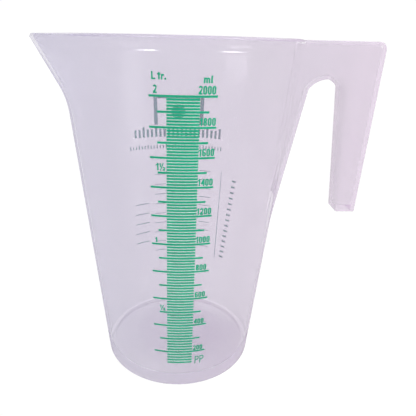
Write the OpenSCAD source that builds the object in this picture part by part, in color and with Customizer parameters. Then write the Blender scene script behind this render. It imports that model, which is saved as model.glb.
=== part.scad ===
// Two-litre measuring jug in translucent polypropylene: a tapered round vessel on a
// raised foot ring, a V-shaped pouring spout, a hollow handle that is open at its lower
// end, and a printed scale in millilitres and litres.
// Millimetres, +Z up. The origin is on the vessel's axis in the plane it stands on.
// The handle points along +X, the spout along -X and the printed scale faces -Y.

/* [Vessel] */
// Height from the foot ring to the top of the rim
height = 215.6; // [205:0.2:225]
// Outer radius of the wall at the rim
rim_r = 70.8; // [68:0.1:74]
// Outer radius of the wall at the foot, measured to the sharp corner
base_r = 52.4; // [50:0.1:55]
// Thickness of the moulded wall
wall = 1.9; // [1.6:0.1:2.4]
// Height of the inside floor above the table
floor_z = 7.4; // [6:0.2:9]
// Thickness of the floor plate over the recess
floor_t = 2.2; // [1.8:0.1:2.8]
// Width of the foot ring
foot_w = 3.2; // [2.6:0.1:4]
// Radius of the outer bottom corner
foot_r = 2.5; // [1.5:0.1:2.6]

/* [Rim] */
// Height of the lip that runs round the rim
lip_h = 2.2; // [1.8:0.1:3]
// How far the lip stands out from the wall
lip_out = 0.9; // [0.5:0.1:1.4]
// Depth of the stacking shoulder below the rim
shoulder_depth = 6; // [4.5:0.1:8]
// How far the shoulder stands out from the wall
shoulder_out = 0.5; // [0.3:0.1:0.8]

/* [Spout] */
// Distance from the axis to the tip of the spout
spout_reach = 89; // [86:0.1:92]
// Height at which the keel of the spout runs out into the wall
spout_foot_z = 179.4; // [174:0.2:186]
// Half angle of the V seen from above
spout_half = 50.2; // [49.6:0.1:50.6]
// Radius of the spout's nose in plan
nose_r = 1.3; // [1:0.1:1.8]

/* [Handle] */
// Distance from the axis to the back of the handle at the rim
handle_reach = 118.9; // [116:0.1:122]
// Distance from the axis to the back of the handle at its lower end
handle_foot_reach = 118.1; // [115:0.1:120]
// Height of the handle's open lower end
handle_foot_z = 109.5; // [100:0.5:120]
// Width of the handle at the rim
handle_top_w = 20.5; // [18:0.5:24]
// Width of the handle at its lower end
handle_foot_w = 15; // [13:0.5:17]
// Wall thickness of the handle
handle_t = 1.9; // [1.6:0.1:2.4]
// Radius of the handle's upper outer corner
handle_corner = 4.5; // [3:0.1:6]
// Radius of the arch over the fingers
arch_r = 14.2; // [13.8:0.1:14.6]

/* [Print] */
// Thickness of the printed ink as it is modelled
ink = 0.15; // [0.1:0.01:0.2]
// Sideways offset of the scale's centre line, in degrees towards the handle
scale_azimuth = 0.9; // [-3:0.1:3]
// Width of a 20 ml line along the wall
fine_w = 15.7; // [13:0.1:17]
// Width of an odd 100 ml line
hundred_w = 24.8; // [22:0.1:26]
// Width of a 200 ml line
double_w = 32.4; // [29:0.1:34]
// Thickness of a 20 ml line
fine_t = 0.95; // [0.6:0.05:1.1]
// Thickness of a 100 ml or 200 ml line
bold_t = 1.05; // [0.8:0.05:1.2]
// Height of the numerals
numeral_h = 3.9; // [3.4:0.1:4.4]
// Stroke of the numerals
numeral_stroke = 0.74; // [0.5:0.02:0.76]

/* [Hidden] */
$fn = 120;

vessel_colour = [0.86, 0.83, 0.88, 0.6];
handle_colour = [0.88, 0.85, 0.90, 0.6];
ink_colour = [0, 0.59, 0.42];

slope = (rim_r - base_r) / height;
lean = atan(slope);
lip_z = height - lip_h;

// Outer and inner radius of the wall at a height
function outer_at(z) = base_r + slope * z;
function inner_at(z) = outer_at(z) - wall;

// Height of the liquid when the vessel holds a volume in millilitres
function level_at(volume) =
    (pow(3 * slope * volume * 1000 / PI + pow(inner_at(floor_z), 3), 1 / 3)
     - inner_at(0)) / slope;

// ---------------------------------------------------------------- vessel

cavity_corner_r = 4;
shoulder_z = height - shoulder_depth;
shoulder_ramp = 0.6;
shoulder_top_gap = 0.5;
recess_z = floor_z - floor_t;
recess_draft = 0.5;

// Half section of a solid cup, its side set in from the vessel's outer wall
module cup_profile(inset, bottom, top, corner_r) {
    corner_z = bottom + corner_r;
    corner_x = outer_at(corner_z) - inset - corner_r / cos(lean);
    polygon([[0, bottom], [corner_x, bottom], [corner_x, corner_z],
             [corner_x + corner_r * cos(lean), corner_z - corner_r * sin(lean)],
             [outer_at(top) - inset, top], [0, top]]);
    translate([corner_x, corner_z]) circle(r = corner_r, $fn = 48);
}

// Lip with a rounded edge, and the shallow shoulder under it
module rim_profile() {
    mid_wall = rim_r - wall / 2;
    edge_x = rim_r + lip_out - lip_h / 2;
    top = height - shoulder_top_gap;
    translate([mid_wall, lip_z]) square([edge_x - mid_wall, lip_h]);
    translate([edge_x, lip_z + lip_h / 2]) circle(r = lip_h / 2, $fn = 48);
    polygon([[outer_at(shoulder_z) - wall / 2, shoulder_z],
             [outer_at(shoulder_z), shoulder_z],
             [outer_at(shoulder_z) + shoulder_out, shoulder_z + shoulder_ramp],
             [rim_r + shoulder_out, top],
             [mid_wall, top]]);
}

// The vessel as if it were solid
module outer_profile() {
    cup_profile(0, 0, height, foot_r);
    rim_profile();
}

// Hollow under the floor, inside the foot ring
module recess_profile() {
    recess_r = base_r - foot_w;
    polygon([[0, -1], [recess_r + 0.1, -1],
             [recess_r - recess_draft, recess_z], [0, recess_z]]);
}

// Everything inside the outer skin of the vessel, used to trim its neighbours
module vessel_envelope() {
    rotate_extrude() outer_profile();
}

// ---------------------------------------------------------------- spout

// The spout is a V-shaped cone whose point is the tip: its lowest line is the keel
spout_lip = lip_out * 0.4;
spout_x = spout_reach + nose_r * (1 / sin(spout_half) - 1) - spout_lip / sin(spout_half);
spout_apex_z = lip_z + 1.2;
keel = atan((spout_apex_z - spout_foot_z) / (spout_x - outer_at(spout_foot_z)));
cone_half = atan((1 / cos(spout_half) - cos(keel)) / sin(keel));
cone_tilt = keel - cone_half;
cone_length = 75;
// Distance from the axis at which the spout stops, inside the vessel
spout_end = rim_r * 0.82;
// Width of the block that trims the cone, wider than the spout
trim_w = 140;
channel_nose_r = 0.6;

// Cone of the spout, moved inwards by a wall thickness
module spout_cone(inset) {
    translate([-spout_x, 0, spout_apex_z])
        rotate([0, 90 + cone_tilt, 0])
            translate([0, 0, inset / sin(cone_half)])
                cylinder(h = cone_length, r1 = 0, r2 = cone_length * tan(cone_half),
                         $fn = 96);
}

// The cone under the lip, with the trimming block's margins beyond the spout
module trimmed_cone(inset, beyond, below, above) {
    intersection() {
        spout_cone(inset);
        translate([-spout_x - beyond, -trim_w / 2, spout_foot_z - below])
            cube([spout_x + beyond - spout_end, trim_w,
                  lip_z - spout_foot_z + below + above]);
    }
}

// The V in plan with a rounded nose, grown or shrunk by an offset
module spout_plan(grow, corner_r) {
    centre_x = -(spout_x + grow / sin(spout_half)) + corner_r / sin(spout_half);
    tangent_x = centre_x - corner_r * sin(spout_half);
    tangent_y = corner_r * cos(spout_half);
    end_y = tangent_y + (-spout_end - tangent_x) * tan(spout_half);
    polygon([[tangent_x, tangent_y], [-spout_end, end_y], [-spout_end, -end_y],
             [tangent_x, -tangent_y], [centre_x, 0]]);
    translate([centre_x, 0]) circle(r = corner_r, $fn = 32);
}

// The channel that the liquid runs through
module spout_channel() {
    trimmed_cone(wall, beyond = 0, below = 20, above = 0.01);
    translate([0, 0, lip_z]) linear_extrude(height = lip_h + 1)
        spout_plan(-wall, channel_nose_r);
}

// ---------------------------------------------------------------- handle

// Straight lines of the handle, each as x at a height
back_slope = (handle_reach - handle_foot_reach) / (height - handle_foot_z);
function back_x(z) = handle_reach - back_slope * (height - z);
function root_x(z) = 62.4 + 0.17195 * (z - 108);
function grip_x(z) = 105.1 - 0.0853 * (z - 109.5);

// Centre of the arch over the fingers, x and z
arch_centre = [87.7, 180.2];
// Heights between which the finger gap is drawn, past both of its ends
gap_bottom = 60;
gap_top = 205;
// Lower end of the root, and the start of the side view inside the vessel
root_z = 85;
inner_x = 30;
// How far the lip stands out from each side of the handle
handle_lip = lip_out * 0.7;
handle_lip_x = 60;

// Finger gap between the vessel and the grip, grown by the wall thickness
module finger_gap(grow) {
    intersection() {
        polygon([[root_x(gap_bottom) - grow, gap_bottom],
                 [root_x(gap_top) - grow, gap_top],
                 [grip_x(gap_top) + grow, gap_top],
                 [grip_x(gap_bottom) + grow, gap_bottom]]);
        union() {
            translate(arch_centre) circle(r = arch_r + grow, $fn = 96);
            translate([20, gap_bottom]) square([120, arch_centre[1] - gap_bottom]);
        }
    }
}

// Side view of the handle, shrunk by the wall thickness
module handle_side(inset) {
    back_lean = atan(back_slope);
    corner_r = handle_corner - inset;
    corner_z = height - handle_corner;
    corner_x = back_x(corner_z) - handle_corner / cos(back_lean);
    // The hollow runs out through the lower end to leave it open
    low = inset > 0 ? handle_foot_z - 5 : handle_foot_z;
    difference() {
        union() {
            polygon([[inner_x, root_z], [root_x(90), root_z], [90, low],
                     [back_x(low) - inset, low],
                     [corner_x + corner_r * cos(back_lean),
                      corner_z - corner_r * sin(back_lean)],
                     [corner_x, corner_z],
                     [corner_x, height - inset], [inner_x, height - inset]]);
            translate([corner_x, corner_z]) circle(r = corner_r, $fn = 48);
        }
        finger_gap(inset);
    }
}

// End view of the handle, which narrows towards its lower end
module handle_end(inset) {
    side_slope = (handle_top_w - handle_foot_w) / (height - handle_foot_z) / 2;
    function half_w(z) = handle_top_w / 2 - inset - side_slope * (height - z);
    low = 80;
    high = height + 2;
    polygon([[-half_w(low), low], [half_w(low), low],
             [half_w(high), high], [-half_w(high), high]]);
}

module handle_solid(inset) {
    intersection() {
        rotate([90, 0, 0]) linear_extrude(height = 60, center = true) handle_side(inset);
        rotate([90, 0, 90]) linear_extrude(height = 150) handle_end(inset);
    }
}

// ---------------------------------------------------------------- ink on the wall

// Azimuths of the scale's centre line and of the back panel
front = 270 + scale_azimuth;
back = 90;

// Angle that a length along the wall spans at a height
function wall_angle(along, z) = along / outer_at(z) * 180 / PI;

// Section of the ink layer between two heights
module ink_profile(z0, z1) {
    polygon([[outer_at(z0), z0], [outer_at(z0) + ink, z0],
             [outer_at(z1) + ink, z1], [outer_at(z1), z1]]);
}

// A line printed on the wall from z0 to z1, its centre x along the wall from an azimuth
module band(azimuth, x, z0, z1, wide) {
    mid_z = (z0 + z1) / 2;
    turn = wall_angle(wide, mid_z);
    rotate([0, 0, azimuth + wall_angle(x, mid_z) - turn / 2])
        rotate_extrude(angle = turn, $fn = 240) ink_profile(z0, z1);
}

// A flat figure laid on the wall: its lower left corner is x along the wall and z high
module on_wall(azimuth, x, z, wide, tall) {
    mid_z = z + tall / 2;
    margin = 2;
    intersection() {
        rotate([0, 0, azimuth + wall_angle(x + wide / 2, mid_z) + 90])
            translate([-wide / 2, -outer_at(mid_z), z])
                rotate([90, 0, 0]) linear_extrude(height = 6, center = true) children();
        rotate_extrude($fn = 240) ink_profile(z - margin, z + tall + margin);
    }
}

// ---------------------------------------------------------------- letters and digits

module ring(outer_r, stroke) {
    difference() {
        circle(r = outer_r, $fn = 32);
        circle(r = outer_r - stroke, $fn = 32);
    }
}

// Upright stadium, the outline of a condensed zero
module stadium(wide, tall) {
    for (y = [wide / 2, tall - wide / 2])
        translate([wide / 2, y]) circle(d = wide, $fn = 32);
    translate([0, wide / 2]) square([wide, tall - wide]);
}

module digit_0(wide, tall, stroke) {
    difference() {
        stadium(wide, tall);
        translate([stroke, stroke]) stadium(wide - 2 * stroke, tall - 2 * stroke);
    }
}

module digit_1(wide, tall, stroke) {
    stem = wide * 0.52;
    translate([stem, 0]) square([stroke, tall]);
    polygon([[wide * 0.08, tall * 0.70], [stem + stroke / 2, tall],
             [stem + stroke / 2, tall * 0.80], [wide * 0.08, tall * 0.58]]);
}

module digit_2(wide, tall, stroke) {
    x = wide / 2;
    y = tall - wide / 2;
    intersection() {
        translate([x, y]) ring(wide / 2, stroke);
        polygon([[-1, y], [x, y], [wide + 1, y - wide * 0.62], [wide + 1, tall + 1],
                 [-1, tall + 1]]);
    }
    polygon([[0, 0], [0, stroke], [wide * 0.78, y - wide * 0.12],
             [wide * 0.985, y - wide * 0.30], [stroke * 1.25, 0]]);
    square([wide, stroke]);
}

module digit_4(wide, tall, stroke) {
    stem = wide * 0.56;
    bar = tall * 0.24;
    translate([stem, 0]) square([stroke, tall]);
    translate([0, bar]) square([wide, stroke]);
    polygon([[0, bar], [0, bar + stroke], [stem, tall], [stem + stroke / 2, tall],
             [stem + stroke / 2, tall - stroke * 1.6], [stroke * 1.05, bar]]);
}

module digit_6(wide, tall, stroke) {
    digit_0(wide, tall * 0.60, stroke);
    translate([0, wide / 2]) square([stroke, tall - wide]);
    intersection() {
        translate([wide / 2, tall - wide / 2]) ring(wide / 2, stroke);
        translate([-1, tall - wide / 2]) square([wide + 2, wide]);
    }
}

module digit_8(wide, tall, stroke) {
    digit_0(wide, tall * 0.55, stroke);
    translate([wide * 0.04, tall * 0.46]) digit_0(wide * 0.92, tall * 0.54, stroke);
}

module digit(value, wide, tall, stroke) {
    if (value == 0) digit_0(wide, tall, stroke);
    if (value == 1) digit_1(wide, tall, stroke);
    if (value == 2) digit_2(wide, tall, stroke);
    if (value == 4) digit_4(wide, tall, stroke);
    if (value == 6) digit_6(wide, tall, stroke);
    if (value == 8) digit_8(wide, tall, stroke);
}

// One half as a small fraction
module half_mark(tall, stroke) {
    translate([0, tall * 0.46]) digit_1(tall * 0.30, tall * 0.54, stroke);
    polygon([[tall * 0.14, 0], [tall * 0.14 + stroke, 0],
             [tall * 0.66, tall], [tall * 0.66 - stroke, tall]]);
    translate([tall * 0.50, 0]) digit_2(tall * 0.34, tall * 0.50, stroke);
}

module letter_m(wide, tall, stroke) {
    pitch = (wide - stroke) / 2;
    arch = (pitch + stroke) / 2;
    square([stroke, tall]);
    for (i = [0, 1]) translate([i * pitch, 0]) {
        intersection() {
            translate([arch, tall - arch]) ring(arch, stroke);
            translate([-1, tall - arch]) square([2 * arch + 2, arch + 1]);
        }
        translate([2 * arch - stroke, 0]) square([stroke, tall - arch]);
    }
}

module capital_l(wide, tall, stroke) {
    square([stroke, tall]);
    square([wide, stroke]);
}

module letter_t(wide, tall, stroke) {
    translate([wide * 0.32, 0]) square([stroke, tall]);
    translate([0, tall * 0.66]) square([wide, stroke]);
}

module letter_r(wide, tall, stroke) {
    arm_r = wide * 0.75;
    square([stroke, tall]);
    intersection() {
        translate([arm_r, tall - arm_r]) ring(arm_r, stroke);
        translate([0, tall - arm_r]) square([wide, wide]);
    }
}

// Bar with its two right-hand corners rounded
module bowl(wide, tall) {
    corner_r = min(wide, tall / 2) * 0.85;
    x = wide - corner_r;
    square([x, tall]);
    for (y = [corner_r, tall - corner_r])
        translate([x, y]) circle(r = corner_r, $fn = 32);
    translate([x, corner_r]) square([corner_r, tall - 2 * corner_r]);
}

module capital_p(wide, tall, stroke) {
    bowl_h = tall * 0.54;
    square([stroke, tall]);
    translate([0, tall - bowl_h]) intersection() {
        difference() {
            bowl(wide, bowl_h);
            translate([stroke, stroke]) bowl(wide - 2 * stroke, bowl_h - 2 * stroke);
        }
        square([wide, bowl_h]);
    }
}

// ---------------------------------------------------------------- scale and panel

numeral_w = numeral_h * 0.475;
numeral_pitch = numeral_h * 0.55;

// Litre figures: volume in ml, left edge along the wall, whole litres, height
litre_figures = [
    [500, -12.5, 0, 4.2],
    [1000, -14.6, 1, 3.1],
    [1500, -13.6, 1, 3.9],
    [2000, -14.1, 2, 3.8],
];

module graduation(volume, wide, thick) {
    z = level_at(volume);
    band(front, 0, z - thick / 2, z + thick / 2, wide);
}

// Right edge of a figure: the longer ones reach a little further out
function numeral_right(volume) = volume >= 2000 ? 15.2 : volume >= 1000 ? 15.8 : 14.6;

// A figure in millilitres above the right end of its line, units digit first
module millilitre_figure(volume) {
    digits = volume >= 1000 ? 4 : 3;
    for (i = [0 : digits - 1])
        on_wall(front, numeral_right(volume) - numeral_w - i * numeral_pitch,
                level_at(volume) + bold_t / 2 + 0.4, numeral_w, numeral_h)
            digit(floor(volume / pow(10, i)) % 10, numeral_w, numeral_h, numeral_stroke);
}

module litre_figure(volume, x, whole, tall) {
    z = level_at(volume) + bold_t / 2 + 0.6;
    wide = tall * 0.47;
    if (whole > 0)
        on_wall(front, x, z, wide, tall) digit(whole, wide, tall, numeral_stroke * 0.95);
    if (volume % 1000 == 500)
        on_wall(front, whole > 0 ? x + wide * 0.95 : x, z, tall * 0.85, tall)
            half_mark(tall, numeral_stroke * 0.72);
}

// A row of upright strokes across the back of the wall, each third one taller
module stroke_row(x0, x1, z, wide, tall, count, extra) {
    for (i = [0 : count - 1])
        band(back, x0 + (x1 - x0) * i / (count - 1), z - tall / 2,
             z + tall / 2 + (i % 3 == 0 ? extra : 0), wide);
}

// A column of short lines under each other on the back of the wall
module line_column(x, z, wide, thick, count, pitch) {
    for (i = [0 : count - 1])
        band(back, x, z - i * pitch, z - i * pitch + thick, wide);
}

// Two uprights joined by a bar along the top
module panel_frame() {
    bottom = 153;
    top = 174;
    for (x = [19.8, -16.5]) band(back, x, bottom, top, wide = 2.8);
    band(back, 1.7, top - 1.3, top, wide = 33.4);
}

module panel_disc() {
    disc_r = 5.5;
    on_wall(back, -3.5, 157, 2 * disc_r, 2 * disc_r)
        translate([disc_r, disc_r]) circle(r = disc_r, $fn = 64);
}

// Short bars that step sideways as they go down
module slanting_column() {
    column_h = 66;
    shift = 8.8;
    for (i = [0 : 14]) {
        drop = i * 4.7;
        band(back, -37.5 - shift * (column_h - drop) / column_h,
             112 - drop, 113.4 - drop, wide = 3.6);
    }
}

// ---------------------------------------------------------------- nodes

// Tapered vessel with its floor, foot ring, rim lip and shoulder
module jug_body() {
    color(vessel_colour)
    difference() {
        rotate_extrude() {
            difference() {
                outer_profile();
                cup_profile(wall, floor_z, height + 1, cavity_corner_r);
                recess_profile();
            }
        }
        spout_channel();
    }
}

// V-shaped pouring spout with its share of the lip
module pouring_spout() {
    color(vessel_colour)
    difference() {
        union() {
            trimmed_cone(0, beyond = 5, below = 5, above = 0);
            translate([0, 0, lip_z]) linear_extrude(height = lip_h)
                spout_plan(spout_lip, nose_r);
        }
        spout_channel();
        vessel_envelope();
    }
}

// Hollow handle: arm, grip and the tapering root that runs down the wall
module handle() {
    color(handle_colour)
    difference() {
        union() {
            handle_solid(0);
            translate([handle_lip_x, -handle_top_w / 2 - handle_lip, lip_z])
                cube([handle_reach - handle_corner - handle_lip_x,
                      handle_top_w + 2 * handle_lip, lip_h]);
        }
        handle_solid(handle_t);
        vessel_envelope();
    }
}

// Short lines every 20 ml from 120 ml up, left out at the hundreds
module fine_graduations() {
    color(ink_colour)
    for (v = [120 : 20 : 1980])
        if (v % 100 != 0) graduation(v, fine_w, fine_t);
}

// Lines at 300, 500 and so on to 1900 ml
module hundred_graduations() {
    color(ink_colour)
    for (v = [300 : 200 : 1900]) graduation(v, hundred_w, bold_t);
}

// Longest lines at 200, 400 and so on to 2000 ml
module double_graduations() {
    color(ink_colour)
    for (v = [200 : 200 : 2000]) graduation(v, double_w, bold_t);
}

module millilitre_numerals() {
    color(ink_colour)
    for (v = [200 : 200 : 2000]) millilitre_figure(v);
}

module litre_numerals() {
    color(ink_colour)
    for (f = litre_figures) litre_figure(f[0], f[1], f[2], f[3]);
}

// "ml" and "Ltr." above the columns of figures
module unit_labels() {
    ml_z = level_at(2000) + 6.0;
    litre_z = level_at(2000) + 7.2;
    stroke = 0.7;
    color(ink_colour) {
        on_wall(front, 9.2, ml_z, 3, 3.3) letter_m(3.0, 2.45, 0.72);
        on_wall(front, 12.6, ml_z, 0.8, 3.3) square([0.8, 3.3]);
        on_wall(front, -14.8, litre_z, 1.9, 3.5) capital_l(1.9, 3.5, stroke);
        on_wall(front, -12.0, litre_z, 1.4, 3.5) letter_t(1.5, 3.1, stroke);
        on_wall(front, -10.3, litre_z, 1.3, 3.5) letter_r(1.4, 2.4, stroke);
        on_wall(front, -8.7, litre_z, 0.8, 0.8) square(0.8);
    }
}

// Plastic type, "PP", below the lowest figure
module material_mark() {
    wide = 2.6;
    tall = 6.5;
    color(ink_colour)
    for (x = [9.9, 13.1])
        on_wall(front, x, level_at(200) - 11.0, wide, tall) capital_p(wide, tall, 0.55);
}

// Plain frame with a disc, strokes and ruled rows on the back (+Y) of the wall
module back_panel_print() {
    color(ink_colour) {
        panel_frame();
        panel_disc();
        stroke_row(-31.5, 36.5, z = 146.6, wide = 1.7, tall = 6, count = 21, extra = 1.8);
        stroke_row(-33, 41, z = 135.8, wide = 0.8, tall = 2.6, count = 31, extra = 0.6);
        line_column(16.3, 113.4, wide = 9, thick = 0.4, count = 9, pitch = 8.2);
        line_column(32, 90, wide = 12, thick = 0.5, count = 5, pitch = 8.2);
        line_column(-20.5, 117, wide = 9.5, thick = 0.4, count = 10, pitch = 7.2);
        band(back, -32.9, 44, 118, wide = 0.4);
        slanting_column();
    }
}

jug_body();
pouring_spout();
handle();
fine_graduations();
hundred_graduations();
double_graduations();
millilitre_numerals();
litre_numerals();
unit_labels();
material_mark();
back_panel_print();
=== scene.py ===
"""Two-litre measuring jug in translucent plastic with a green printed scale.

The jug stands on z = 0 with its axis on z. The spout points to -x, the handle to +x, and
the camera looks from -y. The mouldings are one mesh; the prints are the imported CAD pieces.
Dimensions are in millimetres and are turned into metres where a mesh is made.
"""

import math

import bmesh
import bpy
import numpy as np
from mathutils import Matrix, Vector


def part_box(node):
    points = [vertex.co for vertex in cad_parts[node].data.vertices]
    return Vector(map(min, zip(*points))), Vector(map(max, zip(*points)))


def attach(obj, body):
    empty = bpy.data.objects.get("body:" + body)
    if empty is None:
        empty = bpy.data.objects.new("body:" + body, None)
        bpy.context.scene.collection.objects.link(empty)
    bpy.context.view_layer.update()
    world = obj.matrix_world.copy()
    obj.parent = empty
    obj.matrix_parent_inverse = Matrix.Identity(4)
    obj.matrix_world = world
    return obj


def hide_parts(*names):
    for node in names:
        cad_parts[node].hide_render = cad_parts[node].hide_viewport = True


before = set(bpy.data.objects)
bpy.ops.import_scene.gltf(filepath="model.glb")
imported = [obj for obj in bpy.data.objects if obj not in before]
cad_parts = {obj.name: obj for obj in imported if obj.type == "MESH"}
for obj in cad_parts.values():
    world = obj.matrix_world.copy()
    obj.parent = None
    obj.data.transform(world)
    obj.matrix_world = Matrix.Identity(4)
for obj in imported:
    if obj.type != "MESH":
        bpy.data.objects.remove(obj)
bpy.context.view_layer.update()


MM = 0.001
MOULDED_NODES = ("jug_body", "pouring_spout", "handle")

# ------------------------------------------------------------------ dimensions
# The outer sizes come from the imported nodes; the rest are the design's own values.
body_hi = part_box("jug_body")[1]
handle_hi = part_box("handle")[1]
spout_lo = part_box("pouring_spout")[0]

HEIGHT = body_hi.z / MM  # top of the rim
LIP_OUT, LIP_H = 0.9, 2.2
RIM_R = body_hi.y / MM - LIP_OUT  # wall at the rim, under the lip
BASE_R = 52.4
WALL = 1.9
SLOPE = (RIM_R - BASE_R) / HEIGHT
LEAN = math.atan(SLOPE)
FLOOR_Z, RECESS_Z = 7.4, 5.2
FOOT_W, FOOT_R = 3.2, 2.5  # foot ring: width and outer edge radius
LIP_Z = HEIGHT - LIP_H
TOP_SECTION_Z = 213.9  # the wall's outline keeps this section from here up
SHOULDER_Z, SHOULDER_OUT = HEIGHT - 6.0, 0.5  # ledge under the rim

# The spout is a cone, whose lowest line (the keel) leaves the wall at KEEL_Z.
SPOUT_HALF = math.radians(51.0)
APEX_X, APEX_Z = -spout_lo.x / MM - 0.15, LIP_Z + 1.2
KEEL_Z = 179.4

# The handle is a hollow bracket; its straight sides lean in the side view.
HANDLE_X = handle_hi.x / MM
HANDLE_TOP = HEIGHT - 0.04
HANDLE_WALL = 1.9
GRIP_X, GRIP_Z, GRIP_SLOPE = 105.1, 109.5, 0.0853  # gap side of the grip; Z is its lower end
ROOT_X, ROOT_Z, ROOT_SLOPE = 62.4, 108.0, 0.17195  # gap side next to the vessel
BACK_SLOPE = 0.8 / (HEIGHT - GRIP_Z)
ARCH_X, ARCH_Z, ARCH_R = 87.7, 180.2, 14.2  # arch over the finger gap
HALF_W, HALF_W_SLOPE = 10.25, 0.02592  # half width at the top, and its loss per mm down
BURIED_X, BURIED_Z = 45.0, 70.0  # corner of the handle's solid inside the vessel


def outer_r(z):
    return BASE_R + SLOPE * z


def inner_r(z):
    return outer_r(z) - WALL


def smooth(start, end, x):
    t = np.clip((np.asarray(x, float) - start) / (end - start), 0.0, 1.0)
    return t * t * (3.0 - 2.0 * t)


def soft_max(a, b, width):
    """The larger of two values, with the corner between them rounded over a width."""
    h = np.maximum(width - np.abs(a - b), 0.0) / width
    return np.maximum(a, b) + h * h * width * 0.25


# ------------------------------------------------------------------ vessel and spout
KEEL_ANGLE = math.atan((APEX_Z - KEEL_Z) / (APEX_X - outer_r(KEEL_Z)))
CONE_ANGLE = math.atan(
    (1 / math.cos(SPOUT_HALF) - math.cos(KEEL_ANGLE)) / math.sin(KEEL_ANGLE)
)
CONE_TILT = KEEL_ANGLE - CONE_ANGLE


def spout_r(phi, z, inset):
    """Distance from the vessel's axis to the spout's cone, at an angle from the spout's
    direction and a height, with the cone moved inwards by inset."""
    shift = inset / math.sin(CONE_ANGLE)
    axis_x, axis_z = math.cos(CONE_TILT), -math.sin(CONE_TILT)
    apex_x, apex_z = -APEX_X + shift * axis_x, APEX_Z + shift * axis_z
    z = np.minimum(z, apex_z - 0.35)
    ray_x = -np.cos(phi)
    from_x, from_z = -apex_x, z - apex_z
    ray_along, from_along = ray_x * axis_x, from_x * axis_x + from_z * axis_z
    # quadratic for the distance at which a level ray from the axis meets the cone
    cos2 = math.cos(CONE_ANGLE) ** 2
    q2 = ray_along * ray_along - cos2
    q1 = 2 * (ray_along * from_along - cos2 * ray_x * from_x)
    q0 = from_along * from_along - cos2 * (from_x * from_x + from_z * from_z)
    disc = q1 * q1 - 4 * q2 * q0
    root = np.sqrt(np.maximum(disc, 0.0))
    r = 2 * q0 / np.maximum(-q1 + root, 1e-6)
    return np.where(disc < 0, 200.0, r)


def sheet_r(phi, z, inset):
    """Outline of the vessel with its spout at a height: the wall moved inwards by inset."""
    z = np.asarray(z, float)
    wall = outer_r(z) - inset + 0 * phi
    if inset == 0:
        # low ledge under the rim, with rounded corners
        wall = wall + SHOULDER_OUT * smooth(SHOULDER_Z - 0.3, SHOULDER_Z + 0.9, z)
        # with a faint bead along its edge, which catches the light
        rise = smooth(SHOULDER_Z - 1.2, SHOULDER_Z - 0.7, z)
        wall = wall + 0.12 * (rise - np.clip((z - SHOULDER_Z + 0.7) / 0.6, 0.0, 1.0))
    angle = np.abs(phi)
    spout = np.minimum(spout_r(phi, z, inset), wall + 40.0)
    # beside the spout the cone sinks into the wall
    fade = smooth(math.radians(30.0), math.radians(46.0), angle)
    spout = np.where(angle > math.radians(60), wall - 20.0, spout)
    spout = np.minimum(spout, wall + 40.0 * (1 - fade) ** 2 - 3.0 * fade)
    return soft_max(wall, spout, 3.4 if inset == 0 else 4.2)


# columns: step in degrees, number of steps; counted from the middle of the spout
ANGLE_STEPS = ((0.14, 10), (0.3, 14), (0.55, 16), (0.8, 50), (1.25, 30))
LAST_STEP = 1.5  # about this, up to 180 degrees


def ring_angles():
    """Angles round the vessel, from the spout's direction, between -pi and pi."""
    half = [0.0]
    for step, count in ANGLE_STEPS:
        for _ in range(count):
            half.append(half[-1] + step)
    left = 180.0 - half[-1]
    n = int(round(left / LAST_STEP))
    half += [half[-1] + left * (i + 1) / n for i in range(n)]
    both = half[:-1] + [180.0] + [360.0 - a for a in reversed(half[1:-1])]
    angles = np.radians(np.array(both))
    return np.where(angles > math.pi, angles - 2 * math.pi, angles)


PHI = ring_angles()
RING_N = len(PHI)


def ring_points(r, z):
    r = np.broadcast_to(np.asarray(r, float), PHI.shape)
    z = np.broadcast_to(np.asarray(z, float), PHI.shape)
    return np.stack([-r * np.cos(PHI), r * np.sin(PHI), z], -1)


def arc_rings(centre_r, centre_z, radius, angles):
    """Rings along an arc of the vessel's section."""
    return [
        ring_points(centre_r + radius * math.cos(a), centre_z + radius * math.sin(a))
        for a in angles
    ]


def sheet_ring(z, inset, height=None):
    """Ring with the wall's outline at z, placed at that or another height."""
    return ring_points(sheet_r(PHI, z, inset), z if height is None else height)


def plan_normals(points):
    """Outward normals in plan of a closed ring."""
    t = np.roll(points, -1, 0) - np.roll(points, 1, 0)
    n = np.stack([-t[:, 1], t[:, 0], 0 * t[:, 0]], -1)
    n /= np.linalg.norm(n, axis=1)[:, None]
    outward = np.sign((n * points).sum(1))
    return n * outward[:, None]


def underside_rings():
    """Recessed plate, inner side of the foot ring, and the foot."""
    plate = (4, 9, 16, 24, 32, 39, 44, 46.5)
    rings = [ring_points(r, RECESS_Z + 0.25 * (1 - (r / 47.0) ** 2)) for r in plate]
    ring_r = BASE_R - FOOT_W
    fillet, edge = 1.2, 0.35
    turn = [math.radians(a) for a in (90, 67, 45, 22, 0)]
    rings += arc_rings(ring_r - 0.5 - fillet, RECESS_Z - fillet, fillet, turn)
    rings.append(ring_points(ring_r - 0.25, 1.6))
    rings.append(ring_points(ring_r - 0.07, 0.6))
    turn = [math.radians(a) for a in (180, 210, 240, 270)]
    rings += arc_rings(ring_r + edge, edge, edge, turn)
    centre_r = BASE_R + FOOT_R * SLOPE - FOOT_R / math.cos(LEAN)
    n = 9
    turn = [-math.pi / 2 + (math.pi / 2 - LEAN) * i / n for i in range(n + 1)]
    return rings + arc_rings(centre_r, FOOT_R, FOOT_R, turn)


def outer_wall_rings():
    heights = [3.2, 5, 8, 12, 18]
    heights += list(np.arange(26, 170, 9.0)) + list(np.arange(172, 208.4, 1.15))
    # close together over the bead and the ledge
    heights += [208.5, 208.7, 208.9, 209.0, 209.1, 209.2, 209.3, 209.4, 209.5, 209.7]
    heights += [209.9, 210.1, 210.3, 210.5, 210.8, 211.2, 212.2, 213.1, 213.55]
    return [sheet_ring(z, 0.0) for z in heights]


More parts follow.
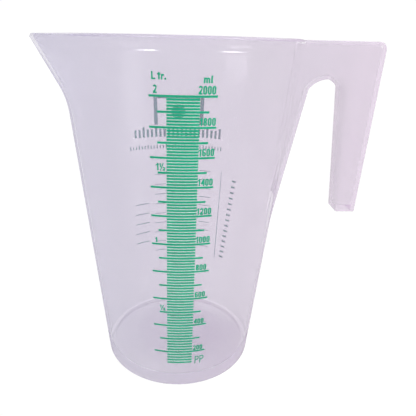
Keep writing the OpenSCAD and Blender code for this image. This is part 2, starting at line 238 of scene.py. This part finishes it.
def lip_rings():
    """Rounded lip, which is thinner along the spout and nearly gone at its tip."""
    tip = 1 - 0.8 * np.exp(-((PHI / math.radians(5.0)) ** 2))
    on_spout = smooth(math.radians(44.0), math.radians(27.0), np.abs(PHI))
    lip_out = (LIP_OUT * (1 - 0.45 * on_spout)) * tip
    radius = LIP_H / 2
    rings = []
    for degrees in (-52, -38, -24, -10, 5, 20, 36, 52, 66, 79, 90):
        a = math.radians(degrees)
        push = lip_out - radius + radius * math.cos(a) - SHOULDER_OUT
        if degrees < 0:
            push = np.maximum(push, 0.0)
        ring = sheet_ring(TOP_SECTION_Z, 0.0, LIP_Z + radius + radius * math.sin(a))
        rings.append(ring + plan_normals(ring) * push[:, None])
    return rings


def rim_rings(outer):
    """Flat of the rim from the lip's last ring, then its rounded inner edge."""
    radius = 0.55
    inner = sheet_ring(TOP_SECTION_Z, WALL)
    gap = inner - outer
    gap[:, 2] = 0
    inwards = gap / np.linalg.norm(gap, axis=1)[:, None]
    edge = inner - inwards * radius
    edge[:, 2] = HEIGHT
    rings = [outer * 0.5 + edge * 0.5, edge]
    for degrees in (30, 60, 90):
        a = math.radians(degrees)
        ring = edge + inwards * radius * math.sin(a)
        ring[:, 2] = HEIGHT - radius * (1 - math.cos(a))
        rings.append(ring)
    return rings


def inside_rings():
    """Inner wall downwards, the fillet at its foot, and the floor."""
    heights = [214.2, 213.0, 211.8] + list(np.arange(210.6, 172, -1.15))
    heights += list(np.arange(166, 13, -9.0)) + [12.2]
    rings = [sheet_ring(min(z, TOP_SECTION_Z), WALL, z) for z in heights]
    fillet = 4.0
    centre_z = FLOOR_Z + fillet
    centre_r = inner_r(centre_z) - fillet / math.cos(LEAN)
    turn = [-LEAN - (math.pi / 2 - LEAN) * i / 8 for i in range(9)]
    rings += arc_rings(centre_r, centre_z, fillet, turn)
    for r in (44, 38, 30, 22, 14, 7, 3):
        rings.append(ring_points(r, FLOOR_Z + 0.3 * (1 - (r / 46.0) ** 2)))
    return rings


def mesh_object(name, verts, faces):
    """Object from points in millimetres, with its faces turned outwards."""
    mesh = bpy.data.meshes.new(name)
    mesh.from_pydata([tuple(v) for v in np.asarray(verts) * MM], [], faces)
    mesh.update()
    ob = bpy.data.objects.new(name, mesh)
    bpy.context.scene.collection.objects.link(ob)
    bm = bmesh.new()
    bm.from_mesh(mesh)
    bmesh.ops.recalc_face_normals(bm, faces=bm.faces)
    bm.to_mesh(mesh)
    bm.free()
    mesh.update()
    return ob


def build_vessel():
    """Rings from the middle of the underside round to the middle of the floor."""
    rings = underside_rings() + outer_wall_rings() + lip_rings()
    rings += rim_rings(rings[-1])
    rings += inside_rings()
    start = np.array([[0.0, 0.0, RECESS_Z + 0.25]])
    end = np.array([[0.0, 0.0, FLOOR_Z + 0.3]])
    verts = np.concatenate([start] + rings + [end])
    faces = [(0, 1 + (i + 1) % RING_N, 1 + i) for i in range(RING_N)]
    for k in range(len(rings) - 1):
        a, b = 1 + k * RING_N, 1 + (k + 1) * RING_N
        for i in range(RING_N):
            j = (i + 1) % RING_N
            faces.append((a + i, a + j, b + j, b + i))
    last, tip = 1 + (len(rings) - 1) * RING_N, len(verts) - 1
    faces += [(last + i, last + (i + 1) % RING_N, tip) for i in range(RING_N)]
    return mesh_object("moulded_jug", verts, faces)


# ------------------------------------------------------------------ handle
def back_x(z):
    return HANDLE_X - BACK_SLOPE * (HEIGHT - z)


def root_x(z):
    return ROOT_X + ROOT_SLOPE * (z - ROOT_Z)


def grip_x(z):
    return GRIP_X - GRIP_SLOPE * (z - GRIP_Z)


def half_width(z):
    return HALF_W - HALF_W_SLOPE * (HEIGHT - z)


def arch_end(side_x, radius, side):
    """Angle where a straight side of the gap meets the arch; side is 1 at the vessel."""
    for i in range(4000):
        angle = math.pi / 2 + side * math.pi / 2 * i / 4000
        x, z = ARCH_X + radius * math.cos(angle), ARCH_Z + radius * math.sin(angle)
        if side * (side_x(z) - x) >= 0:
            return angle


def arch_outline(shrink):
    """Arch of the finger gap, from the vessel's side over to the grip."""
    radius = ARCH_R + shrink
    start = arch_end(lambda z: root_x(z) - shrink, radius, 1)
    end = arch_end(lambda z: grip_x(z) + shrink, radius, -1)
    n = 28
    angles = [start + (end - start) * i / n for i in range(n + 1)]
    return [(ARCH_X + radius * math.cos(a), ARCH_Z + radius * math.sin(a)) for a in angles]


def handle_outline(shrink, low):
    """Side view (x, z) of the handle, shrunk by a distance, with the grip down to low."""
    points = [(BURIED_X, HANDLE_TOP - shrink), (BURIED_X, BURIED_Z)]
    points += [(root_x(BURIED_Z) - shrink, BURIED_Z)]
    points += arch_outline(shrink)
    points += [(grip_x(low) + shrink, low), (back_x(low) - shrink, low)]
    corner = 4.5
    centre_z = HANDLE_TOP - corner
    centre_x = back_x(centre_z) - corner
    radius = corner - shrink
    for i in range(9):
        a = math.pi / 2 * i / 8
        points.append((centre_x + radius * math.cos(a), centre_z + radius * math.sin(a)))
    return points


def loft(name, verts, n):
    """Closed solid between two loops of n points."""
    faces = [tuple(range(n)), tuple(range(2 * n - 1, n - 1, -1))]
    faces += [(i, n + i, n + (i + 1) % n, (i + 1) % n) for i in range(n)]
    return mesh_object(name, verts, faces)


def prism(name, outline, half):
    """Closed solid with this side view, as wide as half says at each height."""
    near = [(x, -half(z), z) for x, z in outline]
    far = [(x, half(z), z) for x, z in outline]
    return loft(name, np.array(near + far), len(outline))


def apply_modifiers(ob):
    graph = bpy.context.evaluated_depsgraph_get()
    mesh = bpy.data.meshes.new_from_object(ob.evaluated_get(graph), depsgraph=graph)
    old = ob.data
    ob.modifiers.clear()
    ob.data = mesh
    bpy.data.meshes.remove(old)


def bevel(ob, width, segments):
    m = ob.modifiers.new("edges", "BEVEL")
    m.width = width * MM
    m.segments = segments
    m.limit_method = "ANGLE"
    m.angle_limit = math.radians(30.0)
    m.use_clamp_overlap = True
    m.miter_outer = "MITER_ARC"
    apply_modifiers(ob)


def boolean(ob, other, operation):
    m = ob.modifiers.new("cut", "BOOLEAN")
    m.operation = operation
    m.object = other
    m.solver = "EXACT"
    apply_modifiers(ob)
    bpy.data.objects.remove(other)


def wall_plug():
    """Solid cone out to the middle of the vessel's wall."""
    n = 240
    a = np.arange(n) * 2 * math.pi / n
    loops = []
    for z in (60.0, HEIGHT + 6.0):
        r = outer_r(z) - WALL / 2
        loops.append(np.stack([r * np.cos(a), r * np.sin(a), 0 * a + z], -1))
    faces = [tuple(reversed(range(n))), tuple(range(n, 2 * n))]
    faces += [(i, (i + 1) % n, n + (i + 1) % n, n + i) for i in range(n)]
    return mesh_object("wall_plug", np.concatenate(loops), faces)


def build_handle():
    """Hollow handle, open at the grip's lower end and cut off within the vessel's wall."""
    outer = prism("handle_outer", handle_outline(0.0, GRIP_Z), half_width)
    bevel(outer, width=0.9, segments=4)
    lip_end = back_x(HEIGHT) - 5.5
    lip = prism(
        "handle_lip",
        [(BURIED_X, HANDLE_TOP), (BURIED_X, LIP_Z), (lip_end, LIP_Z), (lip_end, HANDLE_TOP)],
        lambda z: HALF_W + LIP_OUT * 0.75,
    )
    bevel(lip, width=0.5, segments=3)
    boolean(outer, lip, "UNION")
    inner = prism(
        "handle_hollow",
        handle_outline(HANDLE_WALL, GRIP_Z - 6.0),
        lambda z: half_width(z) - HANDLE_WALL,
    )
    bevel(inner, width=0.7, segments=2)
    boolean(outer, inner, "DIFFERENCE")
    boolean(outer, wall_plug(), "DIFFERENCE")
    return outer


def mark_plastic(mesh):
    """Values for the plastic: whether a face belongs to the handle, whether its corner lies
    on the vessel's outer skin, and how dense the plastic looks at a point."""
    co = np.empty(len(mesh.vertices) * 3)
    mesh.vertices.foreach_get("co", co)
    x, y, z = (co.reshape(-1, 3) / MM).T
    r = np.hypot(x, y)
    phi = np.arctan2(y, -x)
    section_z = np.minimum(z, TOP_SECTION_Z)
    outside = sheet_r(phi, section_z, 0.0)
    skin = (r > (outside + sheet_r(phi, section_z, WALL)) / 2).astype(float)
    on_handle = (x > 40.0) & (r > outside + 1.6)
    # the floor and its fillet look denser, most of all towards the handle and the camera
    plate = (z < FLOOR_Z + 4.6) & (skin == 0.0) & ~on_handle
    corner_side = smooth(-20.0, 35.0, x) * smooth(32.0, 0.0, y)
    density = np.ones(len(z))
    density[plate] = (1.55 - 0.45 * smooth(20.0, 46.0, r) + 0.5 * corner_side)[plate]
    # the inside of the foot ring
    density[(z < RECESS_Z - 0.1) & (skin == 0.0)] = 0.05
    # the handle's faces are no part of the skin, though some of their corners touch it
    count = len(mesh.polygons)
    centres = np.empty(count * 3)
    mesh.polygons.foreach_get("center", centres)
    x, y, z = (centres.reshape(-1, 3) / MM).T
    clearance = np.where(z < LIP_Z - 0.8, 0.75, 1.6)
    handle_face = (x > 40.0) & (np.hypot(x, y) > outer_r(z) + clearance)
    size, corner = np.empty(count, int), np.empty(len(mesh.loops), int)
    mesh.polygons.foreach_get("loop_total", size)
    mesh.loops.foreach_get("vertex_index", corner)
    handle_face = np.repeat(handle_face, size)
    for name, domain, values in (
        ("outer_skin", "CORNER", skin[corner] * ~handle_face),
        ("handle_face", "CORNER", handle_face),
        ("plastic", "POINT", density),
    ):
        layer = mesh.attributes.new(name, "FLOAT", domain)
        layer.data.foreach_set("value", values.astype(np.float32))


def build_jug():
    jug = build_vessel()
    boolean(jug, build_handle(), "UNION")
    bm = bmesh.new()
    bm.from_mesh(jug.data)
    bmesh.ops.remove_doubles(bm, verts=bm.verts, dist=1e-6)
    bmesh.ops.dissolve_degenerate(bm, dist=1e-6, edges=bm.edges)
    bm.to_mesh(jug.data)
    bm.free()
    jug.data.polygons.foreach_set("use_smooth", [True] * len(jug.data.polygons))
    jug.data.set_sharp_from_angle(angle=math.radians(32))
    mark_plastic(jug.data)
    jug.data.update()
    return jug


# ------------------------------------------------------------------ shader building
class Signal:
    """Output of a shader node. Arithmetic on signals adds Math nodes."""

    def __init__(self, graph, socket):
        self.graph = graph
        self.socket = socket

    def __add__(self, other):
        return self.graph.math("ADD", self, other)

    def __sub__(self, other):
        return self.graph.math("SUBTRACT", self, other)

    def __rsub__(self, other):
        return self.graph.math("SUBTRACT", other, self)

    def __mul__(self, other):
        return self.graph.math("MULTIPLY", self, other)

    def __pow__(self, other):
        return self.graph.math("POWER", self, other)

    def __rpow__(self, other):
        return self.graph.math("POWER", other, self)

    def __abs__(self):
        return self.graph.math("ABSOLUTE", self)

    def above(self, limit):
        return self.graph.math("GREATER_THAN", self, limit)

    def below(self, limit):
        return self.graph.math("LESS_THAN", self, limit)

    def max(self, other):
        return self.graph.math("MAXIMUM", self, other)

    def scaled(self, by, plus):
        return self.graph.math("MULTIPLY_ADD", self, by, plus)

    def ramp(self, over, to=(0.0, 1.0), soft=False):
        """Goes from to[0] to to[1] while the signal crosses the range over."""
        ends = {"From Min": over[0], "From Max": over[1], "To Min": to[0], "To Max": to[1]}
        kind = "SMOOTHSTEP" if soft else "LINEAR"
        inputs = {"Value": self, **ends}
        return self.graph.node("ShaderNodeMapRange", inputs, "Result", interpolation_type=kind)

    def output(self, key):
        """Another output of the same node."""
        return Signal(self.graph, self.socket.node.outputs[key])


class Graph:
    """Short calls for building a node tree."""

    def __init__(self, node_tree):
        self.tree = node_tree
        self.tree.nodes.clear()

    def put(self, value, socket):
        if isinstance(value, Signal):
            self.tree.links.new(value.socket, socket)
        elif isinstance(value, tuple) and len(value) == 3 and socket.type == "RGBA":
            socket.default_value = (*value, 1.0)
        else:
            socket.default_value = value

    def node(self, kind, inputs=None, output=0, **settings):
        new = self.tree.nodes.new(kind)
        for name, value in settings.items():
            setattr(new, name, value)
        for key, value in (inputs or {}).items():
            self.put(value, new.inputs[key])
        return Signal(self, new.outputs[output])

    def finish(self, kind, surface):
        self.put(surface, self.tree.nodes.new(kind).inputs["Surface"])

    def math(self, operation, a, b=0.0, c=None, clamp=False):
        inputs = {0: a, 1: b}
        if c is not None:
            inputs[2] = c
        return self.node("ShaderNodeMath", inputs, operation=operation, use_clamp=clamp)

    def position(self, scale=(1.0, 1.0, 1.0)):
        place = self.node("ShaderNodeNewGeometry", output="Position")
        return self.node("ShaderNodeMapping", {"Vector": place, "Scale": scale})

    def separate(self, vector):
        x = self.node("ShaderNodeSeparateXYZ", {0: vector})
        return x, x.output(1), x.output(2)

    def noise(self, vector, scale, detail=2.0, rough=0.5):
        inputs = {"Vector": vector, "Scale": scale, "Detail": detail, "Roughness": rough}
        return self.node("ShaderNodeTexNoise", inputs, "Fac")

    def mix(self, factor, a, b):
        return self.node("ShaderNodeMix", {0: factor, 6: a, 7: b}, 2, data_type="RGBA")

    def mix_shader(self, factor, a, b):
        return self.node("ShaderNodeMixShader", {0: factor, 1: a, 2: b})

    def bump(self, height, strength, distance):
        inputs = {"Height": height, "Strength": strength, "Distance": distance}
        return self.node("ShaderNodeBump", inputs)

    def attribute(self, name):
        return self.node("ShaderNodeAttribute", output="Fac", attribute_name=name)

    def principled(self, inputs):
        return self.node("ShaderNodeBsdfPrincipled", inputs)


def new_material(name):
    mat = bpy.data.materials.new(name)
    mat.use_nodes = True
    return mat, Graph(mat.node_tree)


# ------------------------------------------------------------------ plastic
FACE_TAU = 0.245  # optical thickness of one face, half of the wall's
PRINT_TAU = 0.28  # added behind the printed lines
PRINT_SIDE = 0.0157  # x of the printed scale's middle, as a share of the wall's radius
FALL, RISE = (1.0, 0.0), (0.0, 1.0)


def plane(a, z, by_a, by_z, plus):
    return a.scaled(by_a, z.scaled(by_z, plus))


def handle_density(t, x, y, z, normal, front):
    """Extra density on the handle's side plates, as a factor. Where a plate runs into the
    web along an edge, a ray meets solid plastic and not two thin plates. Where a plate
    melts into the vessel's wall it adds nothing to it."""

    def zone(depth, over):
        return depth.ramp(over, FALL, soft=True) * depth.ramp((-1.0, -0.5))

    # bands along the edges, by depth from each edge in the side view
    below = z.ramp((189.0, 189.8), FALL)
    back = zone(plane(x, z, -1.0, BACK_SLOPE, HANDLE_X - BACK_SLOPE * HEIGHT), (2.9, 3.15))
    top = zone(plane(x, z, 0.0, -1.0, HANDLE_TOP), (1.85, 2.1))
    root = plane(x, z, -1.0, ROOT_SLOPE, ROOT_X - ROOT_SLOPE * ROOT_Z)
    root = zone(root, (2.5, 2.75)) * below
    grip = plane(x, z, 1.0, GRIP_SLOPE, -GRIP_X - GRIP_SLOPE * GRIP_Z)
    grip = zone(grip, (2.75, 3.0)) * below
    dx, dz = x - ARCH_X, z - ARCH_Z
    distance = t.math("SQRT", dx * dx + dz * dz)
    arch = zone(distance - ARCH_R, (2.15, 2.45)) * z.ramp((188.6, 189.4))
    near_arch = arch * x.ramp((ARCH_X - 2.0, ARCH_X + 1.0), FALL)
    far_arch = arch * x.ramp((ARCH_X + 5.0, ARCH_X + 8.0))
    open_end = z.ramp((GRIP_Z + 5.1, GRIP_Z + 5.4), FALL, soft=True) * x.above(95.0)
    near_zone = back.max(top).max(root).max(near_arch).max(open_end)
    far_zone = grip.max(far_arch)

    # outer faces of the two side plates, 0.95 mm deep
    side = abs(normal[1]).ramp((0.08, 0.3)) * t.attribute("handle_face")
    limit = z.scaled(by=HALF_W_SLOPE, plus=HALF_W - HALF_W_SLOPE * HEIGHT - 0.95)
    outer = abs(y).above(limit)
    near = outer * front
    far = outer * (1.0 - front)
    extra = (near * near_zone + far * far_zone) * side
    # seen through the grip's web just above its open end, only the web is left
    drop = plane(y, z, -0.4, -1.0, GRIP_Z + 0.4 * 5.6)
    web = normal[0].below(-0.8) * drop.above(0.0) * front * t.attribute("handle_face")
    extra = extra.max(web * x.above(98.0)).scaled(by=1.8, plus=1.0)
    # the far plate is left out in a narrow band beside the vessel's wall
    far_plate = abs(outer - front)
    gone = front.scaled(by=0.45, plus=plane(x, z, 1.0, -SLOPE, -BASE_R))
    last = z.ramp((165.0, 205.0), to=(2.6, 3.1))
    clear = far_plate * side * (gone.ramp((0.15, 0.3)) * gone.below(last))
    return extra * (1.0 - clear)


def plastic_colour(t, x, cloud, glow):
    # broad, very weak mottling of the resin and faint vertical flow marks
    flow = t.noise(t.position((90.0, 90.0, 9.0)), scale=1.0)
    base = t.mix(cloud.ramp((0.3, 0.7)), (0.485, 0.412, 0.575), (0.512, 0.436, 0.606))
    base = t.mix(flow.ramp((0.45, 0.75), to=(0.0, 0.30)), base, (0.56, 0.48, 0.65))
    # painted shading: the side of the spout is painted a little darker and bluer than the side
    # of the handle, which is painted lighter and warmer, as if the light fell stronger from
    # the handle's side
    painted_side_shade = t.mix(x.ramp((-70.0, 62.0)), (0.440, 0.425, 0.620), (0.565, 0.445, 0.555))
    base = t.mix(0.5, base, painted_side_shade)
    # the handle is a little warmer towards its grip
    warm = t.attribute("handle_face") * x.ramp((80.0, 118.0), to=(0.0, 0.50))
    base = t.mix(warm, base, (0.60, 0.45, 0.60))
    return t.mix(glow, base, (0.13, 0.68, 0.43))


def plastic_tau(t, x, y, z, normal, front, skin, density, glow):
    """Optical thickness of a face."""
    slant = t.node("ShaderNodeLayerWeight", {"Blend": 0.5}, "Facing")
    tau = density * FACE_TAU + glow * PRINT_TAU
    # along the outline a ray stays inside the wall and meets the outer skin only
    rim = skin * slant.ramp((0.75, 0.82), to=(0.0, 1.4), soft=True)
    # but not beside the handle's root, where it goes on into the handle
    beside = abs(y).ramp((33.0, 40.0), FALL) * x.above(45.0) * z.ramp((128.0, 138.0))
    rim = rim * (1.0 - beside)
    beside = beside * skin * slant.ramp((0.87, 0.90))
    tau = tau * ((rim + 1.0) - beside)
    # the handle is slightly thinner
    tau = tau * t.attribute("handle_face").scaled(by=-0.03, plus=1.0)
    # the foot ring is solid behind the outer skin, further up where it is seen at a slant
    low = skin * front * slant.ramp((0.74, 0.82), to=(1.0, 0.3), soft=True)
    rise = t.math("MINIMUM", slant ** 4.6 * 20.0, 9.0)
    most = x.ramp((-30.0, 35.0), to=(2.9, 4.2))
    low = low * (z - rise).ramp((11.15, 11.45), to=(most, 0.0), soft=True)
    tau = tau * (low + 1.0)
    # on the far side the ring stands behind the recessed floor, which counts already
    under = skin * (1.0 - front) * y.above(0.0) * z.ramp((2.8, 3.1), FALL)
    tau = tau * under.scaled(by=-0.54, plus=1.0)
    # and the lip is solid too, where no far wall stands behind it
    lip = skin * front * z.ramp((214.0, 214.6), to=(0.0, 2.5), soft=True)
    lip = lip * slant.ramp((0.45, 0.7), FALL).max(x.above(50.0))
    tau = tau * (lip + 1.0)
    return tau * handle_density(t, x, y, z, normal, front)


def polypropylene():
    """Natural polypropylene: clear enough to read the far print through two walls, with a
    milky body that scatters light forwards as much as back."""
    mat, t = new_material("translucent_polypropylene")
    pos = t.position()
    x, y, z = t.separate(t.position((1000.0, 1000.0, 1000.0)))  # millimetres
    geometry = t.node("ShaderNodeNewGeometry", output="Normal")
    normal = t.separate(geometry)
    front = 1.0 - geometry.output("Backfacing")
    skin, density = t.attribute("outer_skin"), t.attribute("plastic")
    # the inside of the foot ring counts where a ray leaves the ring, not where it enters
    density = density + density.ramp((0.1, 1.0), FALL) * (1.0 - front)
    cloud = t.noise(pos, scale=38.0, detail=3.0, rough=0.55)
    # between the closely printed lines the wall picks up their green
    off = x - z.scaled(by=SLOPE * PRINT_SIDE, plus=BASE_R * PRINT_SIDE)
    glow = abs(off).ramp((7.5, 8.3), FALL, soft=True) * y.below(0.0)
    glow = glow * z.ramp((20.0, 22.0)) * z.ramp((188.5, 190.0), FALL) * skin
    base = plastic_colour(t, x, cloud, glow)
    tau = plastic_tau(t, x, y, z, normal, front, skin, density, glow)
    tau = tau * cloud.ramp((0.25, 0.75), to=(0.94, 1.06))
    cover = t.math("SUBTRACT", 1.0, 2.718282 ** (tau * -1.0), clamp=True)
    grain = t.noise(pos, scale=1500.0, rough=0.6)
    ripple = t.noise(pos, scale=620.0)
    # the outer skin shines as a whole, though the shader covers only a part of it
    shine = skin * front * z.ramp((211.9, 212.6), to=(1.0, 0.2))
    body = t.principled({
        "Base Color": base,
        "Roughness": grain.ramp((0.3, 0.7), to=(0.17, 0.23)),
        "Normal": t.bump(ripple, strength=0.06, distance=0.0002),
        "IOR": 1.9,
        "Specular IOR Level": shine,
    })
    # milky body: part of the light that enters leaves on the other side
    through = t.node("ShaderNodeBsdfTranslucent", {"Color": base})
    milky = t.mix_shader(0.45, body, through)
    clear = t.node("ShaderNodeBsdfTransparent")
    t.finish("ShaderNodeOutputMaterial", t.mix_shader(cover, clear, milky))
    return mat


def green_ink():
    """Screen-printed ink: slightly uneven in cover, with a satin surface."""
    mat, t = new_material("green_screen_print")
    pos = t.position()
    cover = t.noise(pos, scale=900.0, detail=3.0, rough=0.6)
    broad = t.noise(pos, scale=70.0)
    fine_part = cover.ramp((0.35, 0.7), to=(0.0, 0.5))
    broad_part = broad.ramp((0.3, 0.7), to=(0.0, 0.5))
    factor = t.math("ADD", fine_part, broad_part, clamp=True)
    t.finish("ShaderNodeOutputMaterial", t.principled({
        "Base Color": t.mix(factor, (0.0, 0.235, 0.125), (0.004, 0.300, 0.165)),
        "Roughness": cover.ramp((0.3, 0.7), to=(0.42, 0.55)),
        "Specular IOR Level": 0.2,
        "Normal": t.bump(cover, strength=0.25, distance=0.00005),
    }))
    return mat


# ------------------------------------------------------------------ assemble
jug = build_jug()
jug.data.materials.clear()
jug.data.materials.append(polypropylene())
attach(jug, "root")
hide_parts(*MOULDED_NODES)

green = green_ink()
for name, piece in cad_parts.items():
    if name not in MOULDED_NODES:
        piece.data.materials.clear()
        piece.data.materials.append(green)


# ------------------------------------------------------------------ floor, light, camera
# This section is in metres.
WHITE = 1.02  # strength of the floor and the background to the camera


def stage_plane():
    """Pale floor. It looks white to the camera and gives the object a softer light."""
    s = 3.0
    mesh = bpy.data.meshes.new("floor")
    mesh.from_pydata([(-s, -s, 0), (s, -s, 0), (s, s, 0), (-s, s, 0)], [], [(0, 1, 2, 3)])
    ob = bpy.data.objects.new("floor", mesh)
    bpy.context.scene.collection.objects.link(ob)
    mat, t = new_material("white_floor")
    soft = t.principled({
        "Base Color": (0.5, 0.5, 0.5),
        "Emission Color": (1.0, 1.0, 1.0),
        "Emission Strength": 0.12,
        "Roughness": 0.9,
        "Specular IOR Level": 0.0,
    })
    white = t.node("ShaderNodeEmission", {"Strength": WHITE})
    seen = t.node("ShaderNodeLightPath", output="Is Camera Ray")
    t.finish("ShaderNodeOutputMaterial", t.mix_shader(seen, soft, white))
    mesh.materials.append(mat)


def studio_world():
    """White room, a little brighter on the handle's side and dim in reflections."""
    world = bpy.data.worlds.new("studio")
    bpy.context.scene.world = world
    world.use_nodes = True
    t = Graph(world.node_tree)
    direction = t.node("ShaderNodeTexCoord", output="Generated")
    strength = t.separate(direction)[0].ramp((-1.0, 1.0), to=(0.38, 1.02))
    path = t.node("ShaderNodeLightPath")
    for ray, value in (("Is Glossy Ray", 0.15), ("Is Camera Ray", WHITE)):
        strength = t.node("ShaderNodeMix", {0: path.output(ray), 2: strength, 3: value})
    white = (1.0, 1.0, 1.0)
    t.finish(
        "ShaderNodeOutputWorld",
        t.node("ShaderNodeBackground", {"Color": white, "Strength": strength}),
    )


def area(name, at, target, size, watts, gleam=False):
    """Area light: broad ones give the shading, gleams only the highlights."""
    light = bpy.data.lights.new(name, "AREA")
    light.shape = "RECTANGLE"
    light.size, light.size_y = size
    light.energy = watts
    ob = bpy.data.objects.new(name, light)
    bpy.context.scene.collection.objects.link(ob)
    ob.location = at
    ob.rotation_euler = (Vector(target) - Vector(at)).to_track_quat("-Z", "Y").to_euler()
    ob.visible_glossy = gleam
    ob.visible_diffuse = not gleam
    ob.visible_transmission = not gleam


# columns: name, place, target, size, watts
SOFT_LIGHTS = (
    ("soft_right", (0.235, -0.235, 0.195), (0.0, 0.0, 0.16), (0.10, 0.29), 0.70),
    ("soft_left", (-0.235, -0.235, 0.13), (0.0, 0.0, 0.10), (0.06, 0.24), 0.36),
    ("soft_top", (0.10, -0.25, 1.1), (0.0, 0.0, 0.1), (0.9, 0.6), 6.0),
)
GLEAMS = (
    ("gleam_left", (-0.256, -0.298, 0.09), (-0.023, -0.065, 0.185), (0.12, 0.14), 0.12),
    ("gleam_right", (0.280, -0.280, 0.150), (0.024, -0.065, 0.20), (0.14, 0.05), 0.07),
    ("gleam_high_left", (-0.180, -0.354, 0.27), (-0.016, -0.068, 0.21), (0.09, 0.08), 1.10),
    ("gleam_high_right", (0.256, -0.300, 0.27), (0.023, -0.067, 0.21), (0.10, 0.08), 1.20),
)


def camera():
    """Camera on the -y side, looking down at the jug."""
    pitch, roll, pan = 0.402042, 0.025534, 0.037109  # radians
    forward = Vector((
        math.sin(pan) * math.cos(pitch),
        math.cos(pan) * math.cos(pitch),
        -math.sin(pitch),
    ))
    level = Vector((math.cos(pan), -math.sin(pan), 0.0))
    upright = level.cross(forward)
    right = math.cos(roll) * level + math.sin(roll) * upright
    up = -math.sin(roll) * level + math.cos(roll) * upright
    cam = bpy.data.cameras.new("camera")
    cam.sensor_width = 36.0
    cam.lens = 36.0423173
    cam.shift_x = 0.0338293269
    cam.shift_y = 0.0287956731
    cam.clip_start = 0.01
    cam.clip_end = 20.0
    ob = bpy.data.objects.new("camera", cam)
    bpy.context.scene.collection.objects.link(ob)
    matrix = Matrix((right, up, -forward)).transposed().to_4x4()
    matrix.translation = Vector((-0.019, -266.716, 212.516)) * MM
    ob.matrix_world = matrix
    bpy.context.scene.camera = ob


stage_plane()
studio_world()
for light in SOFT_LIGHTS:
    area(*light)
for light in GLEAMS:
    area(*light, gleam=True)
camera()

view = bpy.context.scene.view_settings
view.view_transform = "Standard"
view.look = "None"
view.exposure = 0.0
view.gamma = 1.0
